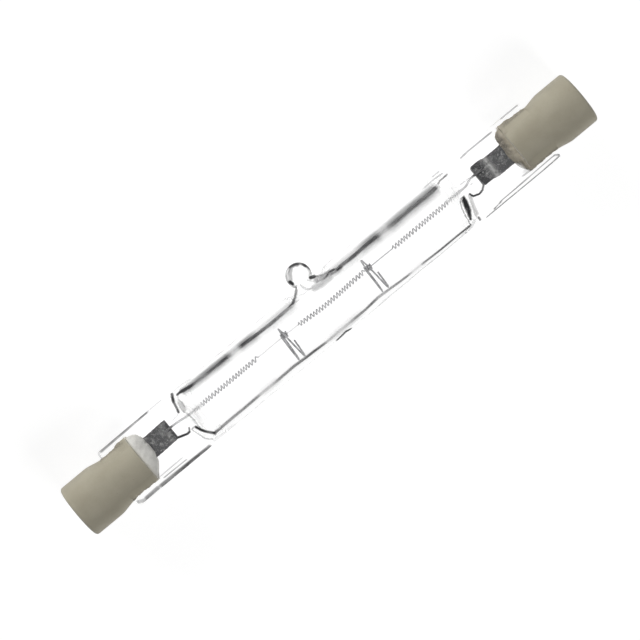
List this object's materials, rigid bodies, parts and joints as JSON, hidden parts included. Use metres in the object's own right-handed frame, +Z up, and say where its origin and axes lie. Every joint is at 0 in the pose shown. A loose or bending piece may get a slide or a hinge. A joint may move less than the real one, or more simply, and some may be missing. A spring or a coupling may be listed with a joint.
{
  "type": "linear halogen bulb",
  "caption": "Double-ended linear halogen bulb: a clear quartz tube with a coiled filament, pinched ends with ceramic caps and recessed contacts, and an exhaust tip.",
  "frame": {"origin": "on the ground under the middle of the bulb's outline as it lies on its tube and exhaust tip", "axes": "+X along the bulb from the left cap to the right cap, +Z up, and the exhaust tip points towards +Y and down to the ground"},
  "size_m": [0.0782, 0.0102, 0.008],
  "materials": {
    "quartz": "polished",
    "tungsten": "satin",
    "support_wire": "satin",
    "lead_metal": "satin",
    "foil_metal": "matte",
    "cement": "matte",
    "ceramic": "matte",
    "contact_metal": "satin"
  },
  "bodies": {
    "root": {"quartz_envelope": "quartz", "filament": "tungsten", "filament_support_left": "support_wire", "filament_support_right": "support_wire", "inner_lead_left": "lead_metal", "inner_lead_right": "lead_metal", "seal_foil_left": "foil_metal", "seal_foil_right": "foil_metal", "outer_lead_left": "lead_metal", "outer_lead_right": "lead_metal", "cement_left": "cement", "cement_right": "cement", "ceramic_cap_left": "ceramic", "ceramic_cap_right": "ceramic", "contact_button_left": "contact_metal", "contact_button_right": "contact_metal"}
  },
  "joints": []
}
